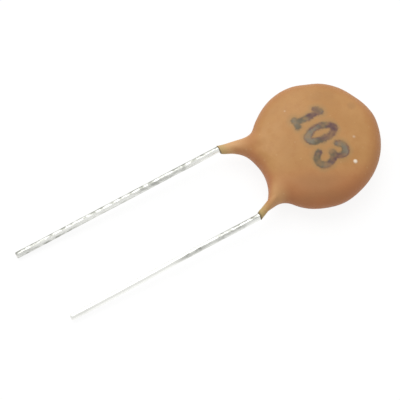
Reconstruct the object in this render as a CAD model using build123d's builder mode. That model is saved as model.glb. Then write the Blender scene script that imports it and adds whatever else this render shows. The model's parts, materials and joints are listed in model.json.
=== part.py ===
from build123d import *
import os
from math import acos, atan2, cos, hypot, radians, sin, sqrt, tan

# A radial-lead ceramic disc capacitor, in millimetres. A ceramic disc carries a silver electrode on each
# face, a tinned wire lead is soldered to each electrode, and a dipped resin coating wraps the disc and runs
# down the leads in two tapering necks with an open arch between them. The part lies on its back, resting on
# the coating's dome and on the tip of its longer lead.

# Ceramic disc and its electrodes
disc_diameter = 6.2
disc_thickness = 0.8
disc_edge_break = 0.1
electrode_margin = 0.35
electrode_thickness = 0.02

# Tinned wire leads
wire_diameter = 0.4
lead_pitch = 5.0
lead_offset = -0.13
front_lead_length = 12.55
back_lead_length = 13.65
lead_lean = 20.0
lead_bend_radius = 0.6
lead_tip_break = 0.05
landing_gap = 0.3
lead_end_reach = 1.2
quarter_turn = 90.0

# Solder joints
solder_film = 0.02
solder_height = 0.38
solder_foot = 0.58
solder_brow = 0.34

# Dipped coating
face_cover = 0.56
edge_cover = 0.9
rim_radius = 1.04
arch_radius = 2.45
crown_cover = 0.5
neck_length = 1.15
neck_wall = 0.04
ridge_cover = 0.18
neck_flare = 1.0
neck_root_reach = 1.7
cut_overrun = 1.0

# How much of the flare each side of a neck has, at even steps from the neck's end to its root
front_outer_shares = (0.05, 0.07, 0.09, 0.30, 0.75, 0.75, 0.40)
front_inner_shares = (0.00, 0.02, 0.26, 0.80, 0.97, 0.90, 0.65)
back_outer_shares = (0.01, 0.05, 0.12, 0.27, 0.45, 0.42, 0.25)
back_inner_shares = (0.03, 0.10, 0.48, 0.95, 1.00, 0.92, 0.65)

# Sizes that follow from those above
disc_radius = disc_diameter / 2
wire_radius = wire_diameter / 2
electrode_radius = disc_radius - electrode_margin
electrode_top = disc_thickness / 2 + electrode_thickness
seat_height = electrode_top + solder_film + wire_radius
body_radius = disc_radius + edge_cover
half_thickness = seat_height + wire_radius + face_cover
crown_reach = disc_radius + crown_cover
neck_reach = body_radius + neck_length
tip_reach = neck_reach + max(front_lead_length, back_lead_length)

# The dome's sphere is tangent to the rim, and the arch's own rim is tangent to the dome
rim_center = body_radius - rim_radius
dome_radius = (rim_center**2 + half_thickness**2 - rim_radius**2) / (2 * (half_thickness - rim_radius))
dome_center = dome_radius - half_thickness
arch_rim_radius = (2 * dome_radius * half_thickness - crown_reach**2 - half_thickness**2) / (
    2 * (dome_radius - crown_reach)
)
arch_center_reach = crown_reach + arch_radius

# Resting tilt: the plane of the floor touches the back dome and the underside of the longer lead's tip
tip_rise = dome_center + wire_radius
tilt = atan2(tip_reach, tip_rise) - acos(dome_radius / hypot(tip_reach, tip_rise))
far_edge = rim_center * cos(tilt) + rim_radius
near_edge = -tip_reach * cos(tilt) - (wire_radius - lead_tip_break) * sin(tilt)
rest_origin = (0, -(far_edge + near_edge) / 2, dome_radius - dome_center * cos(tilt))

# Planes of the two faces of the disc, each with x to the right and the leads running down its -y
front_face = Plane(origin=rest_origin, x_dir=(1, 0, 0), z_dir=(0, -sin(tilt), cos(tilt)))
back_face = Plane(origin=rest_origin, x_dir=(-1, 0, 0), z_dir=(0, sin(tilt), -cos(tilt)))
disc_axis = Axis(front_face.origin, front_face.z_dir)

lean_run = tan(radians(lead_lean))
lean_direction = (-sin(radians(lead_lean)), cos(radians(lead_lean)), 0)


def along_lead(offset, circle_radius):
    """Where a leaning lead, followed inwards from its neck's end, first reaches a circle about the disc's axis."""
    start = Vector(lead_pitch / 2 + offset, -neck_reach, 0)
    direction = Vector(*lean_direction)
    along = start.dot(direction)
    return start + direction * (-along - sqrt(along**2 - start.dot(start) + circle_radius**2))


def lead_end(offset):
    """The inner end of a lead's centre line, in the plan of its face."""
    return Vector(lead_pitch / 2 + offset - (neck_reach + lead_end_reach) * lean_run, lead_end_reach, 0)


def across(face, point, direction):
    """A plane through a point of a face, square to a direction in that face, with its y out of the face."""
    normal = face.from_local_coords(Vector(*direction)) - face.origin
    return Plane(
        origin=face.from_local_coords(Vector(*point)), x_dir=face.z_dir.cross(normal) * -1, z_dir=normal * -1
    )


def make_lead(face, offset, straight_length):
    """A round wire from its cut tip, up the neck and onto the solder of its electrode."""
    bend = Vector(lead_pitch / 2 + offset, -neck_reach, 0)
    seat = Vector(0, 0, seat_height)
    stops = (
        bend - Vector(0, straight_length, 0),
        bend,
        along_lead(offset, disc_radius + landing_gap) + seat,
        lead_end(offset) + seat,
    )
    with BuildPart() as lead:
        with BuildLine() as route:
            FilletPolyline(*[face.from_local_coords(stop) for stop in stops], radius=lead_bend_radius)
        with BuildSketch(Plane(origin=route.line @ 0, z_dir=route.line % 0)):
            Circle(wire_radius)
        sweep(path=route.line)
        chamfer(lead.faces().sort_by(Axis.Y)[0].edges(), lead_tip_break)
    return lead


def make_solder(face, offset, lead):
    """A mound along the wire on its electrode, drawn in towards its top, with the wire's own seat cut from it."""
    start = along_lead(offset, electrode_radius) + Vector(*lean_direction) * solder_foot
    middle = (start + lead_end(offset)) / 2
    length = (lead_end(offset) - start).length
    with BuildPart() as solder:
        for height, half_width in ((0, solder_foot), (solder_height, solder_brow)):
            with BuildSketch(face.offset(electrode_top + height)):
                with Locations(Location(middle, (0, 0, quarter_turn + lead_lean))):
                    SlotCenterToCenter(length, 2 * half_width)
        loft()
        add(lead.part, mode=Mode.SUBTRACT)
    return solder


def make_electrode(face):
    """A thin round film of fired silver on one face of the ceramic."""
    with BuildPart() as electrode:
        with BuildSketch(face.offset(disc_thickness / 2)):
            Circle(electrode_radius)
        extrude(amount=electrode_thickness)
    return electrode


def make_neck(face, offset, outer_shares, inner_shares):
    """Coating down one lead: ellipses about the leaning wire, from the neck's end to its root inside the dome."""
    sheath = wire_radius + neck_wall
    landing = along_lead(offset, disc_radius + landing_gap)
    step = (neck_reach - neck_root_reach) / (len(outer_shares) - 1)
    with BuildPart() as neck:
        for station, (outer_share, inner_share) in enumerate(zip(outer_shares, inner_shares)):
            run = station * step
            rise_share = min(run / (landing.Y + neck_reach), 1)
            axis_x = lead_pitch / 2 + offset - run * lean_run
            flare_shift = neck_flare * (outer_share - inner_share) / 2
            half_width = sheath + neck_flare * (outer_share + inner_share) / 2
            half_height = sheath + (seat_height + ridge_cover) * rise_share
            with BuildSketch(across(face, (0, run - neck_reach, 0), (0, 1, 0))):
                with Locations((axis_x + flare_shift, 0)):
                    Ellipse(half_width, half_height)
        loft()
    return neck


# Pressed ceramic disc with bevelled edges
with BuildPart() as ceramic_disc:
    with BuildSketch(front_face.offset(-disc_thickness / 2)):
        Circle(disc_radius)
    extrude(amount=disc_thickness)
    chamfer(ceramic_disc.edges().filter_by(GeomType.CIRCLE), disc_edge_break)

# What is soldered to each face
front_electrode = make_electrode(front_face)
back_electrode = make_electrode(back_face)
front_lead = make_lead(front_face, lead_offset, front_lead_length)
back_lead = make_lead(back_face, -lead_offset, back_lead_length)
front_solder = make_solder(front_face, lead_offset, front_lead)
back_solder = make_solder(back_face, -lead_offset, back_lead)

front_neck = make_neck(front_face, lead_offset, front_outer_shares, front_inner_shares)
back_neck = make_neck(back_face, -lead_offset, back_outer_shares, back_inner_shares)

# Dipped coating: a domed body with a rounded rim, the arch between the necks, and the necks themselves
with BuildPart() as coating:
    rim_slope = atan2(dome_center, rim_center)
    shoulder = Vector(rim_center + rim_radius * cos(rim_slope), rim_radius * sin(rim_slope))
    with BuildSketch(across(front_face, (0, 0, 0), (0, 1, 0))):
        with BuildLine():
            RadiusArc((0, half_thickness), shoulder, dome_radius)
            ThreePointArc(shoulder, (body_radius, 0), (shoulder.X, -shoulder.Y))
            RadiusArc((shoulder.X, -shoulder.Y), (0, -half_thickness), dome_radius)
            Line((0, -half_thickness), (0, half_thickness))
        make_face()
    revolve(axis=disc_axis)

    arch_slope = atan2(dome_center, crown_reach - arch_rim_radius)
    spread = arch_rim_radius * (1 - cos(arch_slope))
    lip = Vector(arch_radius + spread, arch_rim_radius * sin(arch_slope))
    top = Vector(lip.X + cut_overrun * tan(arch_slope), lip.Y + cut_overrun)
    with BuildSketch(across(front_face, (0, -arch_center_reach, 0), (0, 1, 0))):
        with BuildLine():
            Polyline((0, top.Y), top, lip)
            ThreePointArc(lip, (arch_radius, 0), (lip.X, -lip.Y))
            Polyline((lip.X, -lip.Y), (top.X, -top.Y), (0, -top.Y), (0, top.Y))
        make_face()
    revolve(
        axis=Axis(front_face.from_local_coords((0, -arch_center_reach, 0)), front_face.z_dir),
        mode=Mode.SUBTRACT,
    )

    add(front_neck.part)
    add(back_neck.part)
    for core in (ceramic_disc, front_electrode, back_electrode, front_lead, back_lead, front_solder, back_solder):
        add(core.part, mode=Mode.SUBTRACT)

os.makedirs("parts", exist_ok=True)

coating.part.label = "coating"
export_step(coating.part, "parts/coating.step")
ceramic_disc.part.label = "ceramic_disc"
export_step(ceramic_disc.part, "parts/ceramic_disc.step")
front_electrode.part.label = "front_electrode"
export_step(front_electrode.part, "parts/front_electrode.step")
back_electrode.part.label = "back_electrode"
export_step(back_electrode.part, "parts/back_electrode.step")
front_solder.part.label = "front_solder"
export_step(front_solder.part, "parts/front_solder.step")
back_solder.part.label = "back_solder"
export_step(back_solder.part, "parts/back_solder.step")
front_lead.part.label = "front_lead"
export_step(front_lead.part, "parts/front_lead.step")
back_lead.part.label = "back_lead"
export_step(back_lead.part, "parts/back_lead.step")
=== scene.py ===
import json
import math

import bmesh
import bpy
import numpy as np
from mathutils import Matrix, Vector, noise


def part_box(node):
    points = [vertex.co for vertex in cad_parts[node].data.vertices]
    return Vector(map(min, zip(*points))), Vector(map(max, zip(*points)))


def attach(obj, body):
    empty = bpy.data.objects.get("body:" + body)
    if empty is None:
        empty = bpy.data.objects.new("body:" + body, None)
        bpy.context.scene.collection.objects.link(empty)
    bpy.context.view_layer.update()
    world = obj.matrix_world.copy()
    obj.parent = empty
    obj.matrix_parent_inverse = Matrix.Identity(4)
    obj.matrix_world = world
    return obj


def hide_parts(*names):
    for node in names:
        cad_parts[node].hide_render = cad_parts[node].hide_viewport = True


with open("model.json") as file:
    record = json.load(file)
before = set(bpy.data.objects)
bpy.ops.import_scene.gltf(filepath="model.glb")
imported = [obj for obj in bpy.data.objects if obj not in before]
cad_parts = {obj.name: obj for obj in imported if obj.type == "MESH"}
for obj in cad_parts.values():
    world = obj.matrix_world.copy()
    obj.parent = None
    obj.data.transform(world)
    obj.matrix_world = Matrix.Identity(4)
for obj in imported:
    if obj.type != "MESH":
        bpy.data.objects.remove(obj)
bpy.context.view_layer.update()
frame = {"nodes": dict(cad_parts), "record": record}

# A leaded ceramic disc capacitor: a dipped tan coat with a printed code, and two tinned wires. Lengths are in
# mm, in the disc's own frame: u to the right of the print, v from the leads to the disc, and w out of the
# printed face.
MM = 0.001
TINY = 1e-6
lead_way = -Vector(frame["record"]["mounts"][0]["axis"])
AXES = np.array([(1, 0, 0), tuple(lead_way), tuple(Vector((1, 0, 0)).cross(lead_way))])
ORIGIN = np.array(sum(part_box("ceramic_disc"), Vector()) / 2) / MM
UP_LEAD = Vector((0, 1, 0))
OUT_OF_FACE = Vector((0, 0, 1))

# Sizes of the solids, as the part's source has them
DISC_RADIUS = 3.1
WIRE_RADIUS = 0.2
LEAD_PITCH = 5.0
LEAD_OFFSET = -0.13
LEAD_LENGTHS = {"front_lead": 12.55, "back_lead": 13.65}
LEAD_SIDES = {"front_lead": 1, "back_lead": -1}
LEAD_LEAN = math.radians(20)
BEND_RADIUS = 0.6
TIP_BREAK = 0.05
LANDING_GAP = 0.3
LEAD_END_REACH = 1.2
SEAT_HEIGHT = 0.64
NECK_REACH = 5.15
ARCH_CENTER = (0.0, -6.05)


def to_row(points):
    """Points in the disc's frame, in mm, as points of the row frame in metres."""
    return (np.asarray(points) @ AXES + ORIGIN) * MM


def to_disc(points):
    """Points of the row frame in metres, as points in the disc's frame in mm."""
    return (np.asarray(points) / MM - ORIGIN) @ AXES.T


def ease(low, high, value):
    """0 at low and before it, 1 at high and past it, and a smooth rise between. Low may be the larger."""
    share = np.clip((value - low) / (high - low), 0, 1)
    return share * share * (3 - 2 * share)


def band(start, full, fading, end, value):
    """0 up to start, 1 from full to fading, and 0 again from end on."""
    return ease(start, full, value) * ease(end, fading, value)


def lumps(points, per_mm, seed):
    """Smooth noise from -1 to 1 at each point, with about that many lumps in a mm."""
    shift = Vector((seed, -seed, 2 * seed))
    return np.array([noise.noise(Vector(p) * per_mm + shift) for p in points])


def plan_gap(points, across, along):
    """How far each point is from a place, in the plan of the disc's face."""
    return np.hypot(points[:, 0] - across, points[:, 1] - along)


def mesh_arrays(mesh):
    """The points and edges of a mesh as arrays."""
    points = np.zeros(len(mesh.vertices) * 3)
    mesh.vertices.foreach_get("co", points)
    edges = np.zeros(len(mesh.edges) * 2, int)
    mesh.edges.foreach_get("vertices", edges)
    return points.reshape(-1, 3), edges.reshape(-1, 2)


def set_points(mesh, points):
    """Puts the points of a mesh in new places."""
    mesh.vertices.foreach_set("co", np.asarray(points, np.float32).ravel())
    mesh.update()


def set_attribute(mesh, name, values):
    """Gives each point of a mesh a value that a material reads by its name."""
    made = mesh.attributes.new(name, "FLOAT", "POINT")
    made.data.foreach_set("value", np.asarray(values, np.float32))


def smoothed(points, edges, weights, rounds):
    """Each point drawn towards the mean of its neighbours by its weight, in rounds."""
    count = len(points)
    ends = np.concatenate([edges[:, 0], edges[:, 1]])
    others = np.concatenate([edges[:, 1], edges[:, 0]])
    degree = np.maximum(np.bincount(ends, minlength=count), 1)
    for _ in range(rounds):
        sums = [np.bincount(ends, points[others, axis], count) for axis in range(3)]
        points = points + weights[:, None] * (np.stack(sums, 1) / degree[:, None] - points)
    return points


def add_piece(name, mesh, material, node):
    """A new piece of the object, smooth shaded, that stands for a node of the solid model."""
    mesh.polygons.foreach_set("use_smooth", [True] * len(mesh.polygons))
    mesh.materials.clear()
    mesh.materials.append(material)
    piece = bpy.data.objects.new(name, mesh)
    bpy.context.scene.collection.objects.link(piece)
    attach(piece, "root")
    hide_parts(node)


# Materials

class Shader:
    """A procedural material with a Principled shader, and short calls for its nodes."""

    # Places of a mix node's colours among its inputs, and of its colour among its outputs
    MIX_COLOURS = (6, 7)
    MIX_RESULT = 2

    def __init__(self, name, **values):
        self.material = bpy.data.materials.new(name)
        self.material.use_nodes = True
        self.tree = self.material.node_tree
        self.tree.nodes.clear()
        self.surface = self.node("ShaderNodeBsdfPrincipled")
        out = self.node("ShaderNodeOutputMaterial")
        self.link(self.surface.outputs[0], out.inputs["Surface"])
        for socket, value in values.items():
            self.surface.inputs[socket.replace("_", " ")].default_value = value
        self.coordinates = self.node("ShaderNodeTexCoord").outputs["Object"]

    def node(self, kind, **settings):
        made = self.tree.nodes.new(kind)
        for key, value in settings.items():
            setattr(made, key, value)
        return made

    def link(self, start, end):
        self.tree.links.new(start, end)

    def feed(self, socket, source):
        """Another node's output, or a fixed value, into a socket."""
        if hasattr(source, "is_linked"):
            self.link(source, socket)
        else:
            socket.default_value = source

    def stretched(self, per_mm):
        """Coordinates with so many lumps in a mm: one number for all axes, or one for each."""
        made = self.node("ShaderNodeMapping")
        made.inputs["Scale"].default_value = [float(count) / MM for count in np.broadcast_to(per_mm, 3)]
        self.link(self.coordinates, made.inputs["Vector"])
        return made.outputs[0]

    def noise(self, per_mm, detail, roughness=0.5, distortion=0.0):
        made = self.node("ShaderNodeTexNoise")
        self.link(self.stretched(per_mm), made.inputs["Vector"])
        made.inputs["Scale"].default_value = 1.0
        made.inputs["Detail"].default_value = detail
        made.inputs["Roughness"].default_value = roughness
        made.inputs["Distortion"].default_value = distortion
        return made.outputs["Fac"]

    def cells(self, per_mm):
        """The distance from the middle of the nearest of some scattered cells."""
        made = self.node("ShaderNodeTexVoronoi")
        self.link(self.stretched(per_mm), made.inputs["Vector"])
        made.inputs["Scale"].default_value = 1.0
        return made.outputs["Distance"]

    def attribute(self, name):
        return self.node("ShaderNodeAttribute", attribute_name=name).outputs["Fac"]

    def span(self, source, low, high, start=0.0, end=1.0):
        """A value mapped from low to high onto start to end, with no more at either side."""
        made = self.node("ShaderNodeMapRange", interpolation_type="SMOOTHSTEP")
        self.link(source, made.inputs["Value"])
        for socket, number in zip(("From Min", "From Max", "To Min", "To Max"), (low, high, start, end)):
            made.inputs[socket].default_value = number
        return made.outputs["Result"]

    def combined(self, operation, one, other):
        made = self.node("ShaderNodeMath", operation=operation)
        self.feed(made.inputs[0], one)
        self.feed(made.inputs[1], other)
        return made.outputs[0]

    def faded(self, source, strength):
        return self.combined("MULTIPLY", source, strength)

    def mix(self, share, one, other):
        """Two colours, mixed by a share."""
        made = self.node("ShaderNodeMix", data_type="RGBA", blend_type="MIX")
        self.feed(made.inputs[0], share)
        for place, colour in zip(self.MIX_COLOURS, (one, other)):
            self.feed(made.inputs[place], colour if hasattr(colour, "is_linked") else (*colour, 1.0))
        return made.outputs[self.MIX_RESULT]

    def layered(self, colour, layers):
        """A colour under layers that cover it by their attributes, the lowest first."""
        for name, cover in layers.items():
            colour = self.mix(self.attribute(name), colour, cover)
        return colour

    def colour(self, source):
        self.link(source, self.surface.inputs["Base Color"])

    def roughness(self, source):
        self.link(source, self.surface.inputs["Roughness"])

    def bump(self, height, depth_mm):
        """Relief of a height map, as deep as its full range."""
        made = self.node("ShaderNodeBump")
        made.inputs["Strength"].default_value = 1.0
        made.inputs["Distance"].default_value = depth_mm * MM
        self.link(height, made.inputs["Height"])
        self.link(made.outputs[0], self.surface.inputs["Normal"])


# Linear colours of the coat, and what covers it by its attributes, under and over its specks: under them a
# painted red shade and a painted darker shade with real stains, over them painted light on the ridges over
# the leads and a painted highlight on the beads
DEEP_TAN = (0.520, 0.256, 0.084)
LIGHT_TAN = (0.590, 0.306, 0.112)
MOTTLED_TAN = (0.495, 0.224, 0.073)
COAT_LAYERS = {"red_shade": (0.490, 0.165, 0.066), "shade_and_stains": (0.385, 0.195, 0.083)}
SPECK_TAN = (0.680, 0.430, 0.210)
TOP_LAYERS = {
    "ridge_painted_light": (0.770, 0.445, 0.210),
    "neck_end": (0.560, 0.410, 0.168),
    "neck_lip": (0.150, 0.110, 0.055),
    "glinting_bead": (0.990, 0.870, 0.700),
    "ink_halo": (0.385, 0.255, 0.112),
}
PURPLE_INK = (0.136, 0.070, 0.070)
GREEN_INK = (0.156, 0.124, 0.074)
PALE_INK = (0.255, 0.222, 0.160)

# Linear colours of tinned wire, with its painted shade and painted light, and of its cut end
BRIGHT_TIN = (0.900, 0.905, 0.865)
STREAKED_TIN = (0.710, 0.715, 0.675)
BLOTCHED_TIN = (0.930, 0.935, 0.895)
DULL_TIN = (0.300, 0.302, 0.275)
LIGHT_PAINTED_TIN = (0.980, 0.985, 0.945)
SHADE_PAINTED_TIN = (0.270, 0.275, 0.245)
END_LAYERS = {"copper": (0.550, 0.270, 0.150), "core": (0.360, 0.360, 0.370)}

# Linear colours of the inner pieces, each from one tone to another
CERAMIC_TONES = ((0.560, 0.460, 0.330), (0.680, 0.580, 0.440))
SILVER_TONES = ((0.800, 0.790, 0.750), (0.900, 0.890, 0.860))
SOLDER_TONES = ((0.720, 0.720, 0.730), (0.500, 0.500, 0.520))


def coating_material():
    """Dipped resin: a satin tan coat, with painted red shade along its rim, on the side away from the lamp and
    round the arch, painted darker shade, painted light over the leads and painted highlights on beads, olive at
    its necks' ends, with blotchy ink.
    """
    shader = Shader("coating_resin", Metallic=0.0, IOR=1.5, Specular_IOR_Level=0.3)
    cloud = shader.span(shader.noise(per_mm=0.35, detail=3.0), low=0.3, high=0.7)
    tan = shader.mix(cloud, DEEP_TAN, LIGHT_TAN)
    mottle = shader.span(shader.noise(per_mm=2.4, detail=4.0, roughness=0.6), low=0.42, high=0.72)
    tan = shader.mix(shader.faded(mottle, strength=0.35), tan, MOTTLED_TAN)
    # Painted red shade, then painted darker shade with real stains, under the specks
    tan = shader.layered(tan, COAT_LAYERS)
    specks = shader.span(shader.cells(per_mm=1.6), low=0.05, high=0.12, start=1.0, end=0.0)
    tan = shader.mix(shader.faded(specks, strength=0.30), tan, SPECK_TAN)
    # Over the specks: painted light over the leads, the necks' olive ends and dark lips, a painted highlight on
    # the beads, and the ink's halo
    tan = shader.layered(tan, TOP_LAYERS)

    ink_cloud = shader.span(shader.noise(per_mm=1.1, detail=2.0), low=0.42, high=0.62)
    ink = shader.layered(shader.mix(ink_cloud, PURPLE_INK, GREEN_INK), {"ink_core": PALE_INK})
    shader.colour(shader.mix(shader.attribute("ink"), tan, ink))

    satin = shader.span(shader.noise(per_mm=1.4, detail=3.0), low=0.25, high=0.75, start=0.42, end=0.56)
    gloss = shader.faded(shader.attribute("glinting_bead"), strength=0.3)
    shader.roughness(shader.combined("SUBTRACT", satin, gloss))
    peel = shader.noise(per_mm=3.2, detail=3.0, roughness=0.55)
    pits = shader.faded(shader.span(shader.cells(per_mm=2.3), low=0.03, high=0.10), strength=0.25)
    shader.bump(shader.combined("ADD", peel, pits), depth_mm=0.010)
    return shader.material


def wire_material():
    """Tinned wire: bright tin with dull drawn streaks, painted shade and painted light by the way its sides
    face, and copper showing round the steel of a cut end.
    """
    shader = Shader("tinned_wire", Metallic=1.0)
    streak = shader.span(shader.noise((7.0, 0.55, 7.0), detail=4.0, roughness=0.6), low=0.40, high=0.66)
    tin = shader.mix(streak, BRIGHT_TIN, STREAKED_TIN)
    blotch = shader.noise((2.6, 1.3, 2.6), detail=4.0, roughness=0.65, distortion=0.6)
    tin = shader.mix(shader.faded(shader.span(blotch, low=0.46, high=0.66), strength=0.75), tin, BLOTCHED_TIN)
    dull = shader.span(shader.noise((5.0, 1.8, 5.0), detail=5.0, roughness=0.7), low=0.58, high=0.72)
    tin = shader.mix(shader.faded(dull, strength=0.65), tin, DULL_TIN)
    # Painted light, where the wire's attribute places it
    tin = shader.layered(tin, {"painted_light": LIGHT_PAINTED_TIN})
    # Painted shade, mottled, where the wire's attribute places it
    shade_mottles = shader.noise((5.0, 2.4, 5.0), detail=3.0, roughness=0.6)
    painted_shade = shader.span(shade_mottles, low=0.36, high=0.60, start=1.0, end=0.30)
    tin = shader.mix(shader.combined("MULTIPLY", painted_shade, shader.attribute("painted_shade")), tin, SHADE_PAINTED_TIN)
    shader.colour(shader.layered(tin, END_LAYERS))

    smears = shader.noise((6.0, 0.9, 6.0), detail=3.0)
    shader.roughness(shader.span(smears, low=0.3, high=0.7, start=0.18, end=0.40))
    drawn = shader.noise((16.0, 0.4, 16.0), detail=2.0)
    lumpy = shader.faded(shader.noise((1.6, 0.9, 1.6), detail=2.0), strength=1.5)
    shader.bump(shader.combined("ADD", drawn, lumpy), depth_mm=0.006)
    return shader.material


def ceramic_material():
    """Fired barium titanate: a matte buff body with fine grain."""
    shader = Shader("fired_ceramic", Metallic=0.0)
    grain = shader.noise(per_mm=9.0, detail=4.0, roughness=0.6)
    shader.colour(shader.mix(shader.span(grain, low=0.3, high=0.7), *CERAMIC_TONES))
    shader.roughness(shader.span(grain, low=0.3, high=0.7, start=0.62, end=0.78))
    shader.bump(grain, depth_mm=0.006)
    return shader.material


def silver_material():
    """Screen-printed silver, burnt on: bright, with the mesh's faint unevenness."""
    shader = Shader("fired_silver", Metallic=1.0)
    patch = shader.noise(per_mm=3.0, detail=3.0, roughness=0.6)
    shader.colour(shader.mix(shader.span(patch, low=0.3, high=0.7), *SILVER_TONES))
    shader.roughness(shader.span(patch, low=0.3, high=0.7, start=0.32, end=0.46))
    shader.bump(shader.noise(per_mm=12.0, detail=2.0), depth_mm=0.003)
    return shader.material


def solder_material():
    """Tin solder, frozen with a slightly frosted skin."""
    shader = Shader("tin_solder", Metallic=1.0)
    frost = shader.noise(per_mm=5.0, detail=4.0, roughness=0.65)
    shader.colour(shader.mix(shader.span(frost, low=0.35, high=0.7), *SOLDER_TONES))
    shader.roughness(shader.span(frost, low=0.3, high=0.7, start=0.20, end=0.42))
    shader.bump(frost, depth_mm=0.008)
    return shader.material


# Leads

# The wire's mesh: points round it, the spacing of its rings and the rings in a bend
WIRE_SIDES = 28
ROUTE_SPACING = 0.22
BEND_STEPS = 8

# How uneven a drawn wire is: a share of its radius, and the sway of its centre line below the neck
WIRE_UNEVEN = 0.012
WIRE_LUMPS_PER_MM = 0.9
SWAY = 0.035
SWAY_LUMPS_PER_MM = 0.16
SWAY_START = 0.4
SWAY_FADE = 3.0

# Rings of a sheared end: the share of its radius, how far it stands out, and its shares of steel and copper
END_RINGS = ((0.90, 0.004, 0.1, 1.0), (0.72, 0.006, 1.0, 0.3), (0.30, -0.008, 1.0, 0.0))

# Ways out of a wire
TOP = Vector((-0.30, 0.0, 0.95))
FACE = Vector((0.55, 0.0, 0.83))
LEFT = Vector((-0.94, 0.0, 0.34))
RIGHT = Vector((0.94, 0.0, -0.34))
ALL_ROUND = (-2.0, -1.0)
PAST_TIP = 14.0

# Painted shade and painted light on each lead's tin, set by the way each side of the wire faces the key lamp
# and the camera: darker in some stretches over the band where the lamp's highlight falls, the lower edge and
# the face, and lighter in others over the face, the upper left edge and all round. Each mark: the way out of
# the wire, from which cosine to which the mark grows, the stretch below the neck and how softly it ends, and
# how strong it is
LEAD_MARKS = {
    "back_lead": {
        "painted_shade": (
            (TOP, 0.78, 0.97, 0.0, PAST_TIP, 0.5, 1.0),
            (RIGHT, 0.40, 0.85, 2.2, PAST_TIP, 1.0, 0.6),
            (RIGHT, 0.30, 0.75, 10.5, PAST_TIP, 2.5, 0.9),
            (FACE, 0.60, 0.95, 2.6, 5.0, 0.8, 0.6),
            (FACE, 0.30, 0.80, 12.8, PAST_TIP, 0.4, 0.5),
        ),
        "painted_light": (
            (FACE, 0.75, 0.97, 0.0, 1.8, 0.8, 0.7),
            (FACE, 0.75, 0.97, 6.2, 12.4, 0.8, 0.7),
            (LEFT, 0.60, 0.90, 3.8, PAST_TIP, 1.8, 0.6),
        ),
    },
    "front_lead": {
        "painted_shade": (
            (TOP, 0.65, 0.95, 0.4, 2.4, 1.2, 1.0),
            (FACE, 0.50, 0.90, 1.4, 4.9, 0.9, 0.55),
            (FACE, 0.60, 0.92, 3.8, 4.8, 0.4, 0.90),
            (FACE, 0.20, 0.70, 11.4, PAST_TIP, 0.6, 0.12),
        ),
        "painted_light": (
            (FACE, 0.30, 0.80, 0.0, 0.6, 0.6, 0.7),
            (LEFT, 0.20, 0.80, 4.4, PAST_TIP, 2.5, 1.0),
            (FACE, *ALL_ROUND, 6.4, PAST_TIP, 1.2, 1.0),
        ),
    },
}


def lead_stops(name):
    """The corners of a lead's centre line in the disc's frame: tip, neck's end, landing and inner end."""
    side = LEAD_SIDES[name]
    start = Vector((LEAD_PITCH / 2 + side * LEAD_OFFSET, -NECK_REACH))
    way = Vector((-math.sin(LEAD_LEAN), math.cos(LEAD_LEAN)))
    along = start.dot(way)
    landing_radius = DISC_RADIUS + LANDING_GAP
    to_landing = -along - math.sqrt(along**2 - start.dot(start) + landing_radius**2)
    to_end = (NECK_REACH + LEAD_END_REACH) / way.y
    plan = (start - Vector((0, LEAD_LENGTHS[name])), start, start + way * to_landing, start + way * to_end)
    heights = (0, 0, SEAT_HEIGHT, SEAT_HEIGHT)
    return [Vector((side * p.x, p.y, side * h)) for p, h in zip(plan, heights)]


def lead_route(name):
    """Points along a lead's centre line, with its bends rounded."""
    stops = lead_stops(name)
    route = [stops[0]]
    for before, corner, after in zip(stops, stops[1:], stops[2:]):
        into = (before - corner).normalized()
        out = (after - corner).normalized()
        reach = BEND_RADIUS * math.tan((math.pi - into.angle(out)) / 2)
        bend = []
        for share in np.linspace(0, 1, BEND_STEPS):
            bend.append(corner + into * reach * (1 - share) ** 2 + out * reach * share**2)
        run = bend[0] - route[-1]
        count = max(int(run.length / ROUTE_SPACING), 1)
        route += [route[-1] + run * step / count for step in range(1, count)]
        route += bend
    route.append(stops[-1])
    return np.array([tuple(p) for p in route])


def uneven_wire(name):
    """A lead's centre line from its cut tip, with a slight sway, and its radius at each point."""
    route = lead_route(name)
    tip = route[0]
    route = np.concatenate([[tip, tip + np.array(UP_LEAD) * TIP_BREAK], route[1:]])
    radii = np.full(len(route), WIRE_RADIUS)
    radii[0] -= TIP_BREAK
    radii[1:] *= 1 + WIRE_UNEVEN * lumps(route[1:], WIRE_LUMPS_PER_MM, seed=4.0)
    sway_top = NECK_REACH + SWAY_START
    sway = ease(sway_top, sway_top + SWAY_FADE, -route[:, 1]) * ease(0, SWAY_FADE, route[:, 1] - tip[1])
    route[:, 0] += SWAY * sway * lumps(route, SWAY_LUMPS_PER_MM, seed=7.0 + tip[0])
    return route, radii


def mark_share(marks, spot, below):
    """How strong the strongest of some marks is, at a way out of the wire and a distance below the neck."""
    shares = [0.0]
    for way, low, high, start, end, fade, strength in marks:
        along = band(start - fade, start, end, end + fade, below)
        shares.append(strength * along * ease(low, high, spot.dot(way)))
    return float(max(shares))


def wire_ring(shape, layers, marks, point, ahead, radius):
    """A ring of points round a wire's centre line, each with its shares of painted shade and of painted light.
    """
    right = ahead.cross(OUT_OF_FACE).normalized()
    above = right.cross(ahead)
    ring = []
    for side in range(WIRE_SIDES):
        turn = 2 * math.pi * side / WIRE_SIDES
        spot = right * math.cos(turn) + above * math.sin(turn)
        vert = shape.verts.new(Vector(point) + spot * radius)
        for layer_name, places in marks.items():
            vert[layers[layer_name]] = mark_share(places, spot, -NECK_REACH - point[1])
        ring.append(vert)
    return ring


def bridge(shape, low, high):
    """A band of faces from one ring to the next."""
    for side, vert in enumerate(low):
        after = (side + 1) % len(low)
        shape.faces.new((vert, low[after], high[after], high[side]))


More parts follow.
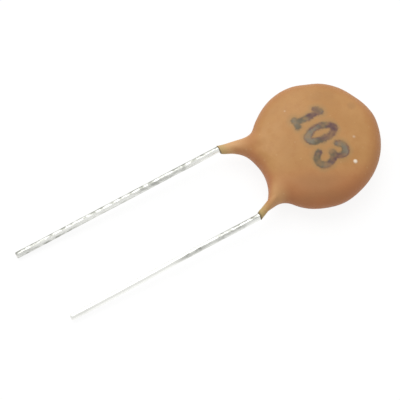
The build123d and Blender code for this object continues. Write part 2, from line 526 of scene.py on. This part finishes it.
def close_tip(shape, layers, rim, center):
    """The sheared end of a wire: a dished steel core inside a ring of copper."""
    outer = rim
    for share, stand_out, core_share, copper_share in END_RINGS:
        inner = []
        for vert in rim:
            made = shape.verts.new(center + (vert.co - center) * share - UP_LEAD * stand_out)
            made[layers["core"]] = core_share
            made[layers["copper"]] = copper_share
            inner.append(made)
        bridge(shape, inner, outer)
        outer = inner
    shape.faces.new(outer[::-1])


def make_lead(name, material):
    """A drawn wire round its route, very slightly uneven, with a sheared tip."""
    route, radii = uneven_wire(name)
    last = len(route) - 1
    shape = bmesh.new()
    layer_names = ("core", "copper", "painted_shade", "painted_light")
    layers = {layer_name: shape.verts.layers.float.new(layer_name) for layer_name in layer_names}
    rings = []
    for index, point in enumerate(route):
        ahead = Vector(route[min(index + 1, last)] - route[max(index - 1, 0)]).normalized()
        rings.append(wire_ring(shape, layers, LEAD_MARKS[name], point, ahead, radii[index]))
    for low, high in zip(rings, rings[1:]):
        bridge(shape, low, high)
    close_tip(shape, layers, rings[0], Vector(route[0]))
    shape.faces.new(rings[-1])
    bmesh.ops.recalc_face_normals(shape, faces=shape.faces)
    mesh = bpy.data.meshes.new(f"{name}_wire")
    shape.to_mesh(mesh)
    shape.free()
    points, _ = mesh_arrays(mesh)
    set_points(mesh, to_row(points))
    add_piece(f"{name}_wire", mesh, material, name)


# Printed figures, as strokes in the plan of the face

STROKE_POINTS = 40


def arc(center, radii, start, end):
    turns = np.radians(np.linspace(start, end, STROKE_POINTS))
    return np.stack([center[0] + radii[0] * np.cos(turns), center[1] + radii[1] * np.sin(turns)], 1)


def line(start, end):
    share = np.linspace(0, 1, STROKE_POINTS)[:, None]
    return np.array(start) * (1 - share) + np.array(end) * share


FIGURES = (
    line((-1.28, -0.52), (-1.20, 1.12)),
    line((-1.50, -0.54), (-1.00, -0.56)),
    line((-1.20, 1.12), (-1.47, 0.92)),
    arc((0.04, 0.40), (0.40, 0.87), 0, 360),
    arc((1.45, 0.79), (0.39, 0.38), 160, -90),
    arc((1.46, -0.12), (0.46, 0.52), 85, -155),
)
PRINT_LOW = (-2.0, -1.1)
PRINT_HIGH = (2.75, 1.6)

# Half a stroke's width, how far its edge waves and frays, and between which depths inside that edge the ink,
# its pale core and its halo grow
STROKE = 0.215
EDGE_WAVE = 0.09
EDGE_FRAY = 0.045
INK_DEPTHS = (-0.08, 0.08)
PALE_DEPTHS = (0.02, 0.12)
HALO_DEPTHS = (-0.36, 0.04)

# How dense the ink is, how much that varies in clouds and in speckles, and how strong its core and halo are
INK_DENSITY = 0.86
INK_CLOUDS = 0.42
INK_SPECKLES = 0.32
INK_LEAST = 0.35
PALE_GAIN = 1.7
PALE_START = 0.05
PALE_MOST = 0.85
HALO_STRENGTH = 0.5


def in_print(plan):
    """Whether places in the plan of the face are inside the print's box."""
    return np.all((np.asarray(plan) > PRINT_LOW) & (np.asarray(plan) < PRINT_HIGH), axis=-1)


def print_cover(points):
    """How much ink, pale ink and thin halo each point of the printed face has."""
    gap = np.full(len(points), np.inf)
    for stroke in FIGURES:
        gap = np.minimum(gap, np.linalg.norm(points[:, None, :2] - stroke[None], axis=2).min(1))
    wave = EDGE_WAVE * lumps(points, per_mm=2.2, seed=3.0)
    fray = EDGE_FRAY * lumps(points, per_mm=10.0, seed=5.0)
    inside = STROKE - gap + wave + fray
    clouds = INK_CLOUDS * lumps(points, per_mm=1.5, seed=8.0)
    speckles = INK_SPECKLES * lumps(points, per_mm=5.0, seed=2.0)
    ink = ease(*INK_DEPTHS, inside) * np.clip(INK_DENSITY + clouds + speckles, INK_LEAST, 1)
    worn = np.clip(PALE_GAIN * lumps(points, per_mm=1.1, seed=12.0) - PALE_START, 0, PALE_MOST)
    pale = ease(*PALE_DEPTHS, inside) * worn
    halo = HALO_STRENGTH * ease(*HALO_DEPTHS, inside)
    return ink, pale, halo


# Coating

# The fine skin: how near points of the solid are welded, the room for its ends, and the size of its cells
WELD = 0.0005
END_SLACK = 0.01
GRAIN = 0.05

# Where the dipped body is fuller or flatter than a circle: the way in its plan and the spread, both in
# degrees, and the depth
BODY_LUMPS = (
    (219, 24, -0.15),
    (90, 32, 0.06),
    (328, 26, 0.08),
    (-3, 13, 0.07),
    (86, 8, 0.03),
    (112, 12, -0.06),
    (157, 9, -0.06),
)

# How uneven the dome is, and over which reach from the axis, depth and stretch down the body is uneven
DOME_UNEVEN = 0.03
DOME_LUMPS_PER_MM = 0.45
DOME_DEPTHS = (0.0, 1.0)
RIM_REACHES = (1.5, 3.7)
LEAST_REACH = 1.0
BODY_DOWN = (4.4, 3.6)

# Smoothing: how far a point moves towards its neighbours in a round, how much less the necks' ends do, and
# how many rounds each part takes
PULL = 0.5
STIFFNESS = 0.46
BODY_ROUNDS = 26
ROOT_ROUNDS = 90
UNDERSIDE_ROUNDS = 120
NECK_ROUNDS = 80
PRINT_ROUNDS = 2

# Where the skin is smoothed: out from the nearest lead, down from the disc's axis, and below its middle plane
STIFF_DOWN = (4.0, 4.9)
ROOT_OUT = (1.7, 0.8)
ROOT_DOWN = (2.0, 2.9, 4.4, 4.95)
UNDERSIDE_HEIGHTS = (-0.2, -0.5)
UNDERSIDE_OUT = (2.6, 1.4)
UNDERSIDE_DOWN = (2.2, 3.0, 4.3, 4.9)
NECK_OUT = (1.7, 1.0)
NECK_DOWN = (2.6, 3.2, 4.5, 5.0)

# Each neck: how much fuller its outer and inner sides are than the solid's at its root, middle and end; from
# where its coat thins to a film, and by which share; how far the painted light on its ridge reaches, and how
# strong it is; from where it turns olive, and how much; and how long its dark lip is
NECKS = {
    "front_lead": {
        "outer": (-0.03, -0.08, 0.00), "inner": (0.08, -0.09, 0.00), "thin_from": 4.0, "thinned": 0.75,
        "ridge_light_reach": 1.0, "ridge_light": 0.42, "olive_from": 4.1, "olive": 1.0, "lip": 0.18,
    },
    "back_lead": {
        "outer": (0.16, 0.08, 0.00), "inner": (0.04, 0.15, 0.12), "thin_from": 4.6, "thinned": 0.30,
        "ridge_light_reach": 1.5, "ridge_light": 0.95, "olive_from": 4.3, "olive": 0.8, "lip": 0.08,
    },
}
NECK_PLACES = (3.9, 4.5, NECK_REACH)
PLACE_SPREAD = 0.6
FULLER_OUT = (1.6, 0.8)
END_FILM = 0.015
END_MARGIN = 0.02
FILM_FROM = 5.05
FILM_OUT = 1.0

# How the necks' tones run, with the painted light on the ridge over each lead: out from the lead, along it and,
# with less of it, beside the arch
RIDGE_FULL = 0.3
RIDGE_DOWN = (2.7, 3.7)
RIDGE_HIDES = 0.8
ARCH_SHADE = 0.7
ARCH_REACHES = (2.9, 2.55)
ARCH_DOWN = (4.7, 4.2)
OLIVE_FULL = 5.1
OLIVE_WAVE = 0.12
LIP_STRENGTH = 0.85
LIP_MARGIN = 0.03
LIP_WAVE = 0.03

# Painted shade, redder and darker: along the rim, over the side away from the key lamp, and round the arch
SHADED_WAY = np.array((0.906, -0.423))
RED_SHADE_RIM = 0.40
RED_SHADE_RIM_REACHES = (3.0, 4.0)
RED_SHADE_SIDE = 0.50
RED_SHADE_SIDE_REACHES = (1.3, 3.4)
RED_SHADE_SIDE_WAVE = 0.25
RED_SHADE_ARCH = 0.50
RED_SHADE_ARCH_REACHES = (3.0, 2.55)
RED_SHADE_ARCH_WAVE = 0.1

# Painted shade, darker, inside the rim of the side away from the key lamp
DARK_SHADE = 0.45
DARK_SHADE_REACHES = (2.1, 2.8, 3.6, 4.1)
DARK_SHADE_SPREAD = 1.5
DARK_SHADE_WAVE = 0.2

# Small raised beads, lit by a painted highlight, and faint darker stains: the place in the plan, the radius and
# how strong each is
BEADS = ((2.52, 1.30, 0.17, 1.0), (1.15, 2.02, 0.12, 0.3), (-2.35, -0.70, 0.08, 0.3))
BEAD_CORE = 0.2
BEAD_HEIGHT = 0.03
STAINS = ((-2.25, 1.55, 0.60, 0.16), (-1.95, 2.10, 0.60, 0.16), (-0.70, 2.98, 0.38, 0.34))
STAIN_CORE = 0.3

# What counts as the printed face: its height over the disc's middle, and how squarely its faces look out
FRONT_HEIGHT = 0.5
FRONT_COSINE = 0.5


def lead_gap(points, name):
    """The nearest point of a lead's centre line to each point, and how far it is."""
    stops = np.array([tuple(p) for p in lead_stops(name)])
    best = np.full(len(points), np.inf)
    nearest = np.zeros_like(points)
    for start, end in zip(stops, stops[1:]):
        run = end - start
        share = np.clip((points - start) @ run / (run @ run), 0, 1)
        spot = start + share[:, None] * run
        gap = np.linalg.norm(points - spot, axis=1)
        closer = gap < best
        best[closer] = gap[closer]
        nearest[closer] = spot[closer]
    return nearest, best


def nearest_lead_gap(points):
    """How far each point is from the nearer lead's centre line."""
    return np.minimum(*(lead_gap(points, name)[1] for name in LEAD_LENGTHS))


def by_lead(points, key):
    """A value of the neck on whose side each point is."""
    return np.where(points[:, 0] > 0, NECKS["front_lead"][key], NECKS["back_lead"][key])


def outer_skin():
    """The coating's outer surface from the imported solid, closed over the leads, in the disc's frame in mm."""
    shape = bmesh.new()
    shape.from_mesh(frame["nodes"]["coating"].data)
    bmesh.ops.remove_doubles(shape, verts=shape.verts, dist=WELD * MM)
    for vert in shape.verts:
        vert.co = Vector(to_disc(vert.co))
    bmesh.ops.recalc_face_normals(shape, faces=shape.faces)
    ends = [f for f in shape.faces if max(v.co.y for v in f.verts) < END_SLACK - NECK_REACH]
    bmesh.ops.delete(shape, geom=ends, context="FACES")
    shape.verts.ensure_lookup_table()
    top = max(shape.verts, key=lambda vert: vert.co.z)
    outside = {top}
    front = [top]
    while front:
        vert = front.pop()
        for edge in vert.link_edges:
            other = edge.other_vert(vert)
            if other not in outside:
                outside.add(other)
                front.append(other)
    bmesh.ops.delete(shape, geom=[v for v in shape.verts if v not in outside], context="VERTS")
    bmesh.ops.holes_fill(shape, edges=[e for e in shape.edges if e.is_boundary])
    bmesh.ops.recalc_face_normals(shape, faces=shape.faces)
    mesh = bpy.data.meshes.new("skin")
    shape.to_mesh(mesh)
    shape.free()
    return mesh


def fine_skin():
    """The outer skin in small even cells."""
    mesh = outer_skin()
    rough = bpy.data.objects.new("skin", mesh)
    bpy.context.scene.collection.objects.link(rough)
    remesh = rough.modifiers.new("fine", "REMESH")
    remesh.mode = "VOXEL"
    remesh.voxel_size = GRAIN
    done = rough.evaluated_get(bpy.context.evaluated_depsgraph_get())
    fine = bpy.data.meshes.new_from_object(done)
    bpy.data.objects.remove(rough)
    bpy.data.meshes.remove(mesh)
    return fine


def blended(points, edges):
    """The skin smoothed, most where the necks run out into the dome."""
    down = -points[:, 1]
    points = smoothed(points, edges, PULL - STIFFNESS * ease(*STIFF_DOWN, down), BODY_ROUNDS)
    gap = nearest_lead_gap(points)
    roots = ease(*ROOT_OUT, gap) * band(*ROOT_DOWN, down)
    points = smoothed(points, edges, PULL * roots, ROOT_ROUNDS)
    underside = ease(*UNDERSIDE_HEIGHTS, points[:, 2]) * ease(*UNDERSIDE_OUT, gap)
    return smoothed(points, edges, PULL * underside * band(*UNDERSIDE_DOWN, down), UNDERSIDE_ROUNDS)


def swollen(points):
    """The body's outline and dome made as uneven as a dipped coat is."""
    reach = plan_gap(points, 0, 0)
    turn = np.degrees(np.arctan2(points[:, 1], points[:, 0]))
    body = ease(*BODY_DOWN, -points[:, 1])
    swell = np.zeros(len(points))
    for way, spread, depth in BODY_LUMPS:
        apart = (turn - way + 180) % 360 - 180
        swell += depth * np.exp(-((apart / spread) ** 2))
    swell *= ease(*RIM_REACHES, reach) * body
    across = points[:, :2] * (1 + swell / np.maximum(reach, LEAST_REACH))[:, None]
    uneven = DOME_UNEVEN * lumps(points, DOME_LUMPS_PER_MM, seed=1.0)
    rise = uneven * ease(*DOME_DEPTHS, np.abs(points[:, 2])) * body
    return np.column_stack([across, points[:, 2] + rise])


def filled_out(points, edges):
    """The necks made fuller or leaner, place by place and side by side, and smoothed again."""
    near_lead = nearest_lead_gap(points)
    down = -points[:, 1]
    for name, neck in NECKS.items():
        side = LEAD_SIDES[name]
        nearest, gap = lead_gap(points, name)
        outwards = side * (points[:, 0] - nearest[:, 0]) / np.maximum(gap, TINY)
        fuller = np.zeros(len(points))
        for place, outer, inner in zip(NECK_PLACES, neck["outer"], neck["inner"]):
            near = band(place - PLACE_SPREAD, place, place, place + PLACE_SPREAD, down)
            fuller += np.where(outwards > 0, outer, inner) * outwards * near
        points[:, 0] += side * fuller * ease(*FULLER_OUT, gap)
    necks = ease(*NECK_OUT, near_lead) * band(*NECK_DOWN, down)
    return smoothed(points, edges, PULL * necks, NECK_ROUNDS)


def drawn_in(points):
    """The necks drawn in to a film at their ends, and kept clear of the wires."""
    film = WIRE_RADIUS + END_FILM
    down = -points[:, 1]
    for name, neck in NECKS.items():
        nearest, gap = lead_gap(points, name)
        thinned = neck["thinned"] * ease(neck["thin_from"], FILM_FROM, down) * (gap < FILM_OUT)
        wanted = gap - thinned * np.maximum(gap - film, 0)
        wanted = np.where(down < NECK_REACH - END_MARGIN, np.maximum(wanted, film), wanted)
        points = nearest + (points - nearest) * (wanted / np.maximum(gap, TINY))[:, None]
    return points


def refine_print(mesh):
    """Twice as fine a mesh under the print."""
    shape = bmesh.new()
    shape.from_mesh(mesh)
    facing = [f for f in shape.faces if f.normal.z > FRONT_COSINE]
    printed = [f for f in facing if in_print(f.calc_center_median()[:2])]
    edges = list(dict.fromkeys(e for f in printed for e in f.edges))
    bmesh.ops.subdivide_edges(shape, edges=edges, cuts=1, use_grid_fill=True)
    bmesh.ops.triangulate(shape, faces=[f for f in shape.faces if len(f.verts) > 4])
    shape.to_mesh(mesh)
    shape.free()


def spot_share(points, spots, core):
    """How much of some round spots each point has. Each is full inside a core, a share of its radius."""
    share = np.zeros(len(points))
    for across, along, radius, strength in spots:
        gap = plan_gap(points, across, along)
        share = np.maximum(share, strength * ease(radius, core * radius, gap))
    return share


def red_shade_share(points):
    """How much painted red shade each point has: along the rim, over the side away from the key lamp, and round
    the arch.
    """
    shaded_side = points[:, :2] @ SHADED_WAY + RED_SHADE_SIDE_WAVE * lumps(points, per_mm=0.8, seed=11.0)
    arch = plan_gap(points, *ARCH_CENTER) + RED_SHADE_ARCH_WAVE * lumps(points, per_mm=1.5, seed=13.0)
    shares = (
        RED_SHADE_RIM * ease(*RED_SHADE_RIM_REACHES, plan_gap(points, 0, 0)),
        RED_SHADE_SIDE * ease(*RED_SHADE_SIDE_REACHES, shaded_side),
        RED_SHADE_ARCH * ease(*RED_SHADE_ARCH_REACHES, arch),
    )
    return 1 - np.prod([1 - share for share in shares], axis=0)


def shade_and_stain_share(points):
    """How much painted shade lies inside the rim on the side away from the key lamp, and how much stain."""
    shaded_side = points[:, :2] @ SHADED_WAY + DARK_SHADE_WAVE * lumps(points, per_mm=0.9, seed=17.0)
    sideways = points[:, :2] @ (-SHADED_WAY[1], SHADED_WAY[0])
    shade_and_stains = DARK_SHADE * band(*DARK_SHADE_REACHES, shaded_side) * np.exp(-((sideways / DARK_SHADE_SPREAD) ** 2))
    return np.maximum(shade_and_stains, (points[:, 2] > 0) * spot_share(points, STAINS, STAIN_CORE))


def ridge_light_share(points):
    """How much painted light lies on the coat over a lead, less beside the arch."""
    down = -points[:, 1]
    over = ease(by_lead(points, "ridge_light_reach"), RIDGE_FULL, nearest_lead_gap(points))
    beside_arch = ease(*ARCH_REACHES, plan_gap(points, *ARCH_CENTER)) * ease(*ARCH_DOWN, down)
    return over * ease(*RIDGE_DOWN, down) * (1 - ARCH_SHADE * beside_arch)


def coat_covers(points, printed):
    """How much of each layer covers each point of the coat, under the names that its material knows."""
    covers = {name: np.zeros(len(points)) for name in ("ink", "ink_core", "ink_halo")}
    for values, cover in zip(covers.values(), print_cover(points[printed])):
        values[printed] = cover
    # Painted light on the ridge over each lead
    ridge_light = ridge_light_share(points)
    covers["ridge_painted_light"] = by_lead(points, "ridge_light") * ridge_light
    # Painted red shade, less where the ridge's painted light lies
    covers["red_shade"] = red_shade_share(points) * (1 - RIDGE_HIDES * ridge_light)
    # Painted darker shade on the side away from the lamp, with real stains
    covers["shade_and_stains"] = shade_and_stain_share(points)
    down = -points[:, 1]
    olive_down = down + OLIVE_WAVE * lumps(points, per_mm=2.0, seed=6.0)
    olive = ease(by_lead(points, "olive_from"), OLIVE_FULL, olive_down)
    covers["neck_end"] = by_lead(points, "olive") * olive
    lip_down = down + LIP_WAVE * lumps(points, per_mm=4.0, seed=9.0)
    lip_start = NECK_REACH - by_lead(points, "lip")
    covers["neck_lip"] = LIP_STRENGTH * ease(lip_start, NECK_REACH - LIP_MARGIN, lip_down)
    return covers


def make_coating(material):
    """The dipped coat as a fine skin over the solid, with its necks blended in and the print on its face."""
    mesh = fine_skin()
    points, edges = mesh_arrays(mesh)
    set_points(mesh, drawn_in(filled_out(swollen(blended(points, edges)), edges)))
    refine_print(mesh)

    points, edges = mesh_arrays(mesh)
    front = points[:, 2] > FRONT_HEIGHT
    printed = front & in_print(points[:, :2])
    points = smoothed(points, edges, PULL * printed, PRINT_ROUNDS)
    # Small raised beads, which also carry a painted highlight
    glinting_bead = front * spot_share(points, BEADS, BEAD_CORE)
    points[:, 2] += BEAD_HEIGHT * glinting_bead
    covers = coat_covers(points, printed)
    covers["glinting_bead"] = glinting_bead
    set_points(mesh, to_row(points))
    for name, values in covers.items():
        set_attribute(mesh, name, values)
    mesh.name = "coating_skin"
    add_piece("coating_skin", mesh, material, "coating")


wire = wire_material()
make_coating(coating_material())
for lead in LEAD_LENGTHS:
    make_lead(lead, wire)

silver = silver_material()
solder = solder_material()
inner_materials = {
    "ceramic_disc": ceramic_material(),
    "front_electrode": silver,
    "back_electrode": silver,
    "front_solder": solder,
    "back_solder": solder,
}
for name, material in inner_materials.items():
    frame["nodes"][name].data.materials.clear()
    frame["nodes"][name].data.materials.append(material)


# Floor, light and camera

# The floor's half side in metres, how pale it is to light and to the eye, and what it gives off to the eye
FLOOR_SIDE = 1.2
FLOOR_ALBEDO = 0.80
FLOOR_SEEN_ALBEDO = 0.18
FLOOR_LIFT = 0.87

# The world's light, and a broad soft lamp from the upper left of the picture: its way along the camera's
# axes, its strength and its spread in degrees
WORLD_LEVEL = 0.66
KEY_RIGHT = -0.28
KEY_UP = 0.77
KEY_BACK = 0.57
KEY_STRENGTH = 1.35
KEY_SPREAD = 60

# The photograph's view, fitted to its outline in a frame of 400 by 400 pixels: angles in degrees, and in the
# row frame, in mm, the distance from the camera to its target and that target
CAMERA_AZIMUTH = 59.73
CAMERA_ELEVATION = 67.09
CAMERA_ROLL = 1.59
CAMERA_DISTANCE = 80.0
CAMERA_TARGET = Vector((-0.12, -0.389, 1.4215))
FOCAL_PIXELS = 1352.0
FRAME_PIXELS = 400.0
SENSOR_WIDTH = 36.0
CLIP_START = 0.001


def seen_share(tree):
    """1 for rays that show a background to the eye, straight or in gloss or glass, and 0 for light."""
    path = tree.nodes.new("ShaderNodeLightPath")
    shares = [path.outputs[name] for name in ("Is Camera Ray", "Is Glossy Ray", "Is Transmission Ray")]
    total = shares[0]
    for share in shares[1:]:
        most = tree.nodes.new("ShaderNodeMath")
        most.operation = "MAXIMUM"
        tree.links.new(total, most.inputs[0])
        tree.links.new(share, most.inputs[1])
        total = most.outputs[0]
    return total


def floor_material():
    """Pale to light. To the eye it is white, with a faint shadow."""
    material = bpy.data.materials.new("white_floor")
    material.use_nodes = True
    tree = material.node_tree
    tree.nodes.clear()
    paints = []
    for level in (FLOOR_ALBEDO, FLOOR_SEEN_ALBEDO):
        paint = tree.nodes.new("ShaderNodeBsdfDiffuse")
        paint.inputs["Color"].default_value = (level, level, level, 1)
        paints.append(paint.outputs[0])
    glow = tree.nodes.new("ShaderNodeEmission")
    glow.inputs["Strength"].default_value = FLOOR_LIFT
    seen = tree.nodes.new("ShaderNodeAddShader")
    tree.links.new(paints[1], seen.inputs[0])
    tree.links.new(glow.outputs[0], seen.inputs[1])
    either = tree.nodes.new("ShaderNodeMixShader")
    tree.links.new(seen_share(tree), either.inputs[0])
    tree.links.new(paints[0], either.inputs[1])
    tree.links.new(seen.outputs[0], either.inputs[2])
    out = tree.nodes.new("ShaderNodeOutputMaterial")
    tree.links.new(either.outputs[0], out.inputs["Surface"])
    return material


def make_floor():
    """A plain pale floor under the object."""
    mesh = bpy.data.meshes.new("floor")
    corners = [(x * FLOOR_SIDE, y * FLOOR_SIDE, 0) for x, y in ((-1, -1), (1, -1), (1, 1), (-1, 1))]
    mesh.from_pydata(corners, [], [(0, 1, 2, 3)])
    mesh.materials.append(floor_material())
    floor = bpy.data.objects.new("floor", mesh)
    bpy.context.scene.collection.objects.link(floor)


def make_world():
    """Even light from all round, in front of a white background."""
    world = bpy.data.worlds.new("studio")
    bpy.context.scene.world = world
    world.use_nodes = True
    tree = world.node_tree
    tree.nodes.clear()
    strength = tree.nodes.new("ShaderNodeMapRange")
    strength.inputs["To Min"].default_value = WORLD_LEVEL
    strength.inputs["To Max"].default_value = 1.0
    tree.links.new(seen_share(tree), strength.inputs["Value"])
    sky = tree.nodes.new("ShaderNodeBackground")
    tree.links.new(strength.outputs["Result"], sky.inputs["Strength"])
    out = tree.nodes.new("ShaderNodeOutputWorld")
    tree.links.new(sky.outputs[0], out.inputs["Surface"])


def camera_axes(azimuth, elevation, roll):
    """The camera's right, up and back directions."""
    a, e, r = (math.radians(x) for x in (azimuth, elevation, roll))
    back = Vector((math.sin(a) * math.cos(e), -math.cos(a) * math.cos(e), math.sin(e)))
    right = Vector((math.cos(a), math.sin(a), 0))
    up = back.cross(right)
    return math.cos(r) * right + math.sin(r) * up, math.cos(r) * up - math.sin(r) * right, back


def make_camera(axes):
    """The camera at the photograph's viewing angle."""
    data = bpy.data.cameras.new("camera")
    data.sensor_width = SENSOR_WIDTH
    data.lens = data.sensor_width * FOCAL_PIXELS / FRAME_PIXELS
    data.clip_start = CLIP_START
    place = (CAMERA_TARGET + axes[2] * CAMERA_DISTANCE) * MM
    camera = bpy.data.objects.new("camera", data)
    camera.matrix_world = Matrix.Translation(place) @ Matrix(axes).transposed().to_4x4()
    bpy.context.scene.collection.objects.link(camera)
    bpy.context.scene.camera = camera


def make_key(axes):
    """A broad soft lamp above the object."""
    right, up, back = axes
    way = (back * KEY_BACK + up * KEY_UP + right * KEY_RIGHT).normalized()
    data = bpy.data.lights.new("key", "SUN")
    data.energy = KEY_STRENGTH
    data.angle = math.radians(KEY_SPREAD)
    key = bpy.data.objects.new("key", data)
    key.rotation_euler = way.to_track_quat("Z", "Y").to_euler()
    bpy.context.scene.collection.objects.link(key)


view_axes = camera_axes(CAMERA_AZIMUTH, CAMERA_ELEVATION, CAMERA_ROLL)
make_floor()
make_world()
make_camera(view_axes)
make_key(view_axes)
bpy.context.scene.view_settings.view_transform = "Standard"
